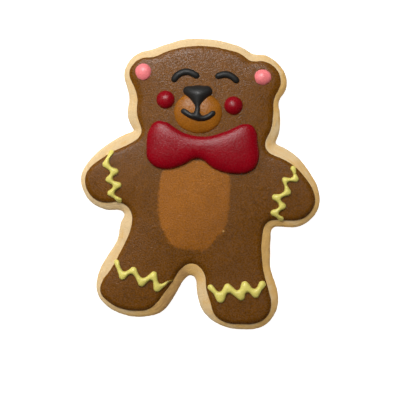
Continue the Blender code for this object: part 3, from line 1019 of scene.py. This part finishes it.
# Lines as marks of x, y and width in millimetres. The nose is filled from a few thick ones.
NOSE = (
    ((-8.3, 33.9, 3.6), (-4.3, 33.4, 6.2), (-1.2, 34.3, 4.4)),
    ((-8.3, 33.9, 3.6), (-4.3, 30.6, 4.4), (-1.2, 34.3, 4.4)),
)
PHILTRUM = ((-4.3, 30.0, 3.2), (-4.0, 28.2, 2.2), (-4.0, 26.5, 2.1), (-3.8, 24.4, 2.3))
MOUTH = (
    (-9.1, 26.1, 2.3), (-7.0, 24.9, 2.2), (-5.0, 24.2, 2.2), (-3.0, 23.9, 2.2),
    (-1.0, 24.2, 2.2), (0.5, 25.0, 2.2), (1.9, 26.4, 2.2),
)


class COOKIE_OT_features(Step, Operator):
    """Pipe the nose with the mouth under it, and the closed eyes"""

    bl_idname = "cookie.features"
    bl_label = "Nose, mouth and eyes"

    def execute(self, context):
        dough = context.scene.cookie_dough
        icing = context.scene.cookie_icing
        nose_black = icing_finish("black nose icing", icing.black, 0.5, 0.5, FACE_GRAIN)
        eye_black = icing_finish("black eye icing", icing.black, 0.45, 0.26, FACE_GRAIN)
        shore = strand_shore(*NOSE, PHILTRUM, MOUTH)
        piece = pooled("nose_and_mouth", shore, 7.0 * MM, icing.nose_rise, power=0.72)
        over_muzzle(piece)
        settled(piece, dough, icing)
        finished(piece, "nose_mouth", nose_black)
        for side in ("left", "right"):
            node = f"eye_{side}"
            shore = shore_of(node, EYE_WIDEST, 0.2 * MM, 0.15 * MM, 0.2 * MM)
            piece = pooled(f"eye_arc_{side}", shore, MM, icing.eye_rise, power=0.5)
            settled(piece, dough, icing)
            finished(piece, node, eye_black)
        return {"FINISHED"}


class COOKIE_OT_bow(Step, Operator):
    """Puff the bow tie"""

    bl_idname = "cookie.bow"
    bl_label = "Bow tie"

    def execute(self, context):
        dough = context.scene.cookie_dough
        icing = context.scene.cookie_icing
        shore = shore_of("bow_tie", ICING_TOP + 0.5 * MM, 0.05 * MM, softness=0.4 * MM)
        piece = pooled("bow", shore, 3.6 * MM, icing.bow_rise, power=0.4, cell=BOW_CELL)
        settled(piece, dough, icing)
        material = icing_finish("red icing", icing.red, 0.25, 0.27, BOW_GRAIN)
        finished(piece, "bow_tie", material)
        return {"FINISHED"}


# The zigzags as marks of x, y and width in millimetres: knobs where they turn, thinner between.
ZIGZAGS = {
    "arm_left": (
        (-34.7, 8.2, 1.9), (-35.7, 6.0, 1.3), (-36.4, 3.4, 2.6), (-34.6, 2.0, 1.6),
        (-32.4, 1.1, 2.3), (-33.9, -0.5, 1.6), (-34.8, -2.2, 2.4), (-33.0, -3.2, 1.6),
        (-30.8, -3.9, 2.3), (-32.2, -5.5, 1.5), (-33.6, -7.2, 2.5), (-31.9, -8.5, 1.2),
        (-30.0, -9.6, 2.1),
    ),
    "arm_right": (
        (34.0, 8.6, 2.2), (34.8, 6.7, 1.1), (35.3, 4.7, 2.4), (33.2, 4.3, 1.3), (31.1, 4.1, 2.0),
        (31.8, 2.0, 1.2), (32.9, -0.5, 2.5), (30.5, -2.0, 1.4), (28.2, -2.8, 2.4),
        (29.9, -4.3, 1.4), (31.5, -5.9, 2.5), (30.1, -7.4, 1.4), (28.2, -8.7, 2.4),
        (29.9, -9.9, 1.3), (31.3, -10.7, 2.1),
    ),
    "leg_left": (
        (-28.9, -32.9, 2.1), (-27.9, -35.0, 1.6), (-26.1, -38.2, 2.5), (-24.2, -36.4, 1.6),
        (-22.2, -35.2, 2.5), (-20.6, -37.4, 1.7), (-18.7, -39.8, 2.9), (-16.6, -38.0, 1.8),
        (-14.4, -36.2, 2.5), (-13.6, -38.5, 1.8), (-12.7, -41.3, 2.8), (-10.4, -39.8, 1.4),
        (-8.8, -38.4, 1.0), (-7.3, -37.8, 0.9),
    ),
    "leg_right": (
        (7.3, -39.0, 2.3), (9.1, -40.5, 1.8), (11.5, -42.8, 3.4), (12.6, -40.4, 2.3),
        (13.7, -38.3, 2.9), (16.3, -39.9, 2.2), (19.1, -41.3, 3.1), (19.4, -39.0, 2.3),
        (20.1, -36.8, 2.9), (22.3, -38.5, 2.1), (24.5, -40.0, 2.8), (25.6, -38.0, 2.1),
        (26.6, -36.0, 2.8),
    ),
}


class COOKIE_OT_zigzags(Step, Operator):
    """Pipe the zigzags across the arms and legs"""

    bl_idname = "cookie.zigzags"
    bl_label = "Zigzags"

    def execute(self, context):
        dough = context.scene.cookie_dough
        icing = context.scene.cookie_icing
        material = piping_finish(icing)
        for limb, marks in ZIGZAGS.items():
            piece = pooled(f"cuff_{limb}", strand_shore(marks), MM, icing.zigzag_rise, power=0.45)
            note(piece, "width", strand_depth(np.array(marks) * MM, places_of(piece)[:, :2])[1])
            settled(piece, dough, icing)
            finished(piece, f"zigzag_{limb}", material)
        return {"FINISHED"}


# Stage.


# Each light's name, place, side and power, and whether the icing mirrors it.
LIGHTS = (
    ("softbox above the head", (-0.11, 0.335, 0.5), 0.3, 2.95, True),
    ("fill from the upper left", (-0.40, 0.18, 0.317), 0.4, 1.2, False),
    ("soft light from overhead", (-0.05, 0.1, 0.9), 0.9, 0.5, False),
    ("ceiling", (-0.2, 0.38, 1.0), 1.0, 1.85, True),
)
# The dim warm light from all sides, and the paper that the cookie lies on.
ROOM_COLOUR = (1.0, 0.9, 0.75, 1.0)
ROOM_STRENGTH = 0.1
FLOOR_RADIUS = 3.0
FLOOR_DROP = 0.05 * MM
FLOOR_GLOW = 0.97
PAPER_SHADES = ((0.4, 0.4, 0.4), (0.44, 0.44, 0.44))


def lay_floor():
    """White paper that stays white in the picture and throws a little light back."""
    bm = bmesh.new()
    bmesh.ops.create_circle(bm, segments=96, radius=FLOOR_RADIUS, cap_ends=True)
    floor = new_piece("floor", bm)
    floor.location.z = -FLOOR_DROP
    paper = Finish("white paper", 0.9, 0.2)
    paper.paint(paper.mixed(paper.mottle(40.0 * MM), *PAPER_SHADES))
    paper.shader.inputs["Emission Color"].default_value = (1.0, 1.0, 1.0, 1.0)
    paper.shader.inputs["Emission Strength"].default_value = FLOOR_GLOW
    floor.data.materials.append(paper.material)
    floor.visible_glossy = False


def hang_softbox(name, place, side, power, mirrored):
    """A square light that faces the cookie."""
    light = bpy.data.lights.new(name, "AREA")
    light.shape = "SQUARE"
    light.size = side
    light.energy = power
    lamp = bpy.data.objects.new(name, light)
    lamp.location = place
    lamp.rotation_euler = Vector(place).to_track_quat("Z", "Y").to_euler()
    lamp.visible_glossy = mirrored
    bpy.context.scene.collection.objects.link(lamp)


def light_room(scene):
    """Dim warm light from all sides, which the icing doesn't mirror."""
    world = bpy.data.worlds.new("soft room")
    world.use_nodes = True
    world.node_tree.nodes["Background"].inputs["Color"].default_value = ROOM_COLOUR
    world.node_tree.nodes["Background"].inputs["Strength"].default_value = ROOM_STRENGTH
    world.cycles_visibility.glossy = False
    scene.world = world
    scene.view_settings.view_transform = "Standard"


def place_camera(scene, stage):
    """The camera over the cookie, far enough off for the lens to span the view."""
    camera = bpy.data.cameras.new("camera")
    camera.lens = stage.lens
    camera.clip_start = 0.01
    holder = bpy.data.objects.new("camera", camera)
    distance = stage.view_width * stage.lens / camera.sensor_width
    leaning = Euler((-stage.view_tilt, 0.0, stage.view_turn))
    away = Vector((0.0, 0.0, distance))
    away.rotate(leaning)
    holder.location = Vector((*stage.view_centre, stage.view_level)) + away
    holder.rotation_euler = leaning
    scene.collection.objects.link(holder)
    scene.camera = holder


class COOKIE_OT_stage(Step, Operator):
    """Lay the pale floor and place the lights and the camera"""

    bl_idname = "cookie.stage"
    bl_label = "Floor, lights and camera"

    def execute(self, context):
        lay_floor()
        for light in LIGHTS:
            hang_softbox(*light)
        light_room(context.scene)
        place_camera(context.scene, context.scene.cookie_stage)
        return {"FINISHED"}


# The add-on.


STEPS = (
    COOKIE_OT_biscuit,
    COOKIE_OT_coat,
    COOKIE_OT_belly,
    COOKIE_OT_muzzle,
    COOKIE_OT_dots,
    COOKIE_OT_features,
    COOKIE_OT_bow,
    COOKIE_OT_zigzags,
    COOKIE_OT_stage,
)
SETTINGS = {
    "cookie_dough": DoughSettings,
    "cookie_icing": IcingSettings,
    "cookie_stage": StageSettings,
}


class COOKIE_PT_sidebar(Panel):
    """The cookie's settings and steps"""

    bl_idname = "COOKIE_PT_sidebar"
    bl_label = "Teddy bear cookie"
    bl_space_type = "VIEW_3D"
    bl_region_type = "UI"
    bl_category = "Cookie"

    def draw(self, context):
        for name, group in SETTINGS.items():
            box = self.layout.box()
            for setting in group.__annotations__:
                box.prop(getattr(context.scene, name), setting)
        for step in STEPS:
            self.layout.operator(step.bl_idname)


CLASSES = (*SETTINGS.values(), *STEPS, COOKIE_PT_sidebar)


def register():
    for entry in CLASSES:
        bpy.utils.register_class(entry)
    for name, group in SETTINGS.items():
        setattr(bpy.types.Scene, name, PointerProperty(type=group))


def unregister():
    for name in SETTINGS:
        delattr(bpy.types.Scene, name)
    for entry in reversed(CLASSES):
        bpy.utils.unregister_class(entry)


def main():
    register()
    for step in STEPS:
        family, verb = step.bl_idname.split(".")
        getattr(getattr(bpy.ops, family), verb)()


if __name__ == "__main__":
    main()
